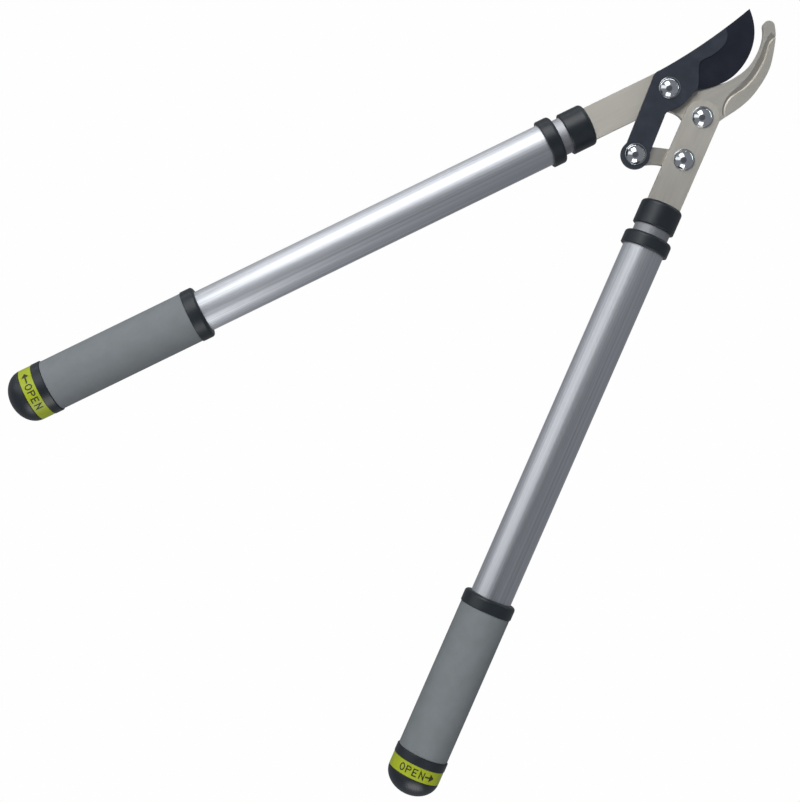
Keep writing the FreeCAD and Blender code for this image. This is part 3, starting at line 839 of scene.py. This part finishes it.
def stage_material(name, colour, seen_from_below):
    """A plain colour that glows by itself; the side that faces away may be clear."""
    material, tree, shader = new_material(name)
    tree.nodes.remove(shader)
    glow = add(tree, "ShaderNodeEmission", {"Color": linear(colour)}).outputs[0]
    if not seen_from_below:
        clear = add(tree, "ShaderNodeBsdfTransparent").outputs[0]
        back = add(tree, "ShaderNodeNewGeometry").outputs["Backfacing"]
        mixed = add(tree, "ShaderNodeMixShader", {0: back, 1: glow, 2: clear})
        glow = mixed.outputs[0]
    tree.links.new(glow, tree.nodes["Material Output"].inputs["Surface"])
    return material


def stage_piece(name, grid, colour, seen_from_below=True, mirrored=False):
    """A part of the set, which only the camera sees, or only mirrors."""
    mesh = bpy.data.meshes.new(name)
    grid.to_mesh(mesh)
    grid.free()
    mesh.materials.append(stage_material(name + "_paint", colour, seen_from_below))
    thing = bpy.data.objects.new(name, mesh)
    bpy.context.scene.collection.objects.link(thing)
    thing.visible_camera, thing.visible_glossy = not mirrored, mirrored
    thing.visible_diffuse = thing.visible_shadow = False
    thing.visible_transmission = thing.visible_volume_scatter = False


floor = bmesh.new()
bmesh.ops.create_grid(floor, x_segments=1, y_segments=1, size=FLOOR_SIZE / 2)
bmesh.ops.translate(floor, verts=floor.verts, vec=(0, 0, -FLOOR_DROP))
stage_piece("floor", floor, "#FEFEFE", seen_from_below=False)
backdrop = bmesh.new()
bmesh.ops.create_uvsphere(backdrop, u_segments=32, v_segments=16, radius=FLOOR_SIZE)
stage_piece("backdrop", backdrop, "#FEFEFE")
card = bmesh.new()
bmesh.ops.create_circle(card, cap_ends=True, segments=48, radius=CARD_RADIUS)
bmesh.ops.translate(card, verts=card.verts, vec=(0, 0, CARD_HEIGHT))
stage_piece("dark_card", card, "#5C5F64", mirrored=True)

# %% [markdown]
# Polished domes and drawn tubes are mirrors of the room, so the lamps are chosen for how they look
# in them.  One large box high on one side is the bright patch of every dome and the broad streak
# along the left tube.  A side box does the same for the right tube, a low strip is the thin line
# near a tube's edge, the near box is the second patch of the domes, and a rim strip beyond the jaws
# is a thin cool line on what faces that way.  The top fill lights the plastics without showing in
# anything polished.

# %% Lamps and room
TARGET = np.array([0.0, 0.1, 0.02])


def softbox(name, azimuth, zenith, distance, width, height, power, colour="#FFFFFF", mirrored=True):
    """A rectangular lamp aimed at the tool; angles in degrees from +X and from straight up."""
    a, z = math.radians(azimuth), math.radians(zenith)
    out = np.array([math.sin(z) * math.cos(a), math.sin(z) * math.sin(a), math.cos(z)])
    light = bpy.data.lights.new(name, "AREA")
    light.shape = "RECTANGLE"
    light.size, light.size_y = width, height
    light.energy = power
    light.color = linear(colour)[:3]
    lamp = bpy.data.objects.new(name, light)
    across = np.array([-math.sin(a), math.cos(a), 0.0])
    upward = np.cross(out, across)
    for column, vector in enumerate((across, upward, out)):
        for row in range(3):
            lamp.matrix_world[row][column] = vector[row]
    lamp.location = TARGET + distance * out
    lamp.visible_camera, lamp.visible_glossy = False, mirrored
    bpy.context.scene.collection.objects.link(lamp)


softbox("key_box", 155, 48, 1.9, 1.2, 1.5, 19.0)
softbox("side_box", 206, 56, 1.9, 0.9, 2.2, 7.0)
softbox("low_strip", 160, 97, 1.9, 2.4, 0.16, 4.0)
softbox("near_box", 306, 66, 1.9, 1.3, 1.2, 15.0)
softbox("top_fill", 160, 25, 1.9, 1.6, 1.6, 20.0, mirrored=False)
softbox("rim_strip", 89, 96, 1.6, 2.6, 0.10, 5.0, "#E4F2F4")

world = bpy.data.worlds.new("room")
bpy.context.scene.world = world
world.use_nodes = True
world.node_tree.nodes["Background"].inputs["Color"].default_value = linear("#8C8E92")
world.node_tree.nodes["Background"].inputs["Strength"].default_value = 1.0

# %% [markdown]
# The camera looks straight down from about a metre, turned so that the left handle comes in from
# the lower left and the jaws point to the upper right.  The Standard view keeps the whites white
# and the colours as they are written.

# %% Camera
CAMERA_FROM_PIVOT = (-0.0161, -0.31136, 1.060)     # metres from the handle pivot
CAMERA_TURN = 43.86          # degrees about the vertical
LENS = 63.02                 # millimetres, on a 36 mm wide sensor

camera_data = bpy.data.cameras.new("camera")
camera_data.lens = LENS
camera_data.sensor_width = 36.0
camera = bpy.data.objects.new("camera", camera_data)
camera.location = np.array(joints["handle_pivot"]["pos_m"]) + CAMERA_FROM_PIVOT
camera.rotation_euler = (0, 0, math.radians(CAMERA_TURN))
bpy.context.scene.collection.objects.link(camera)
bpy.context.scene.camera = camera
bpy.context.scene.view_settings.view_transform = "Standard"

# %% [markdown]
# Last, the view layer is brought up to date.


bpy.context.view_layer.update()
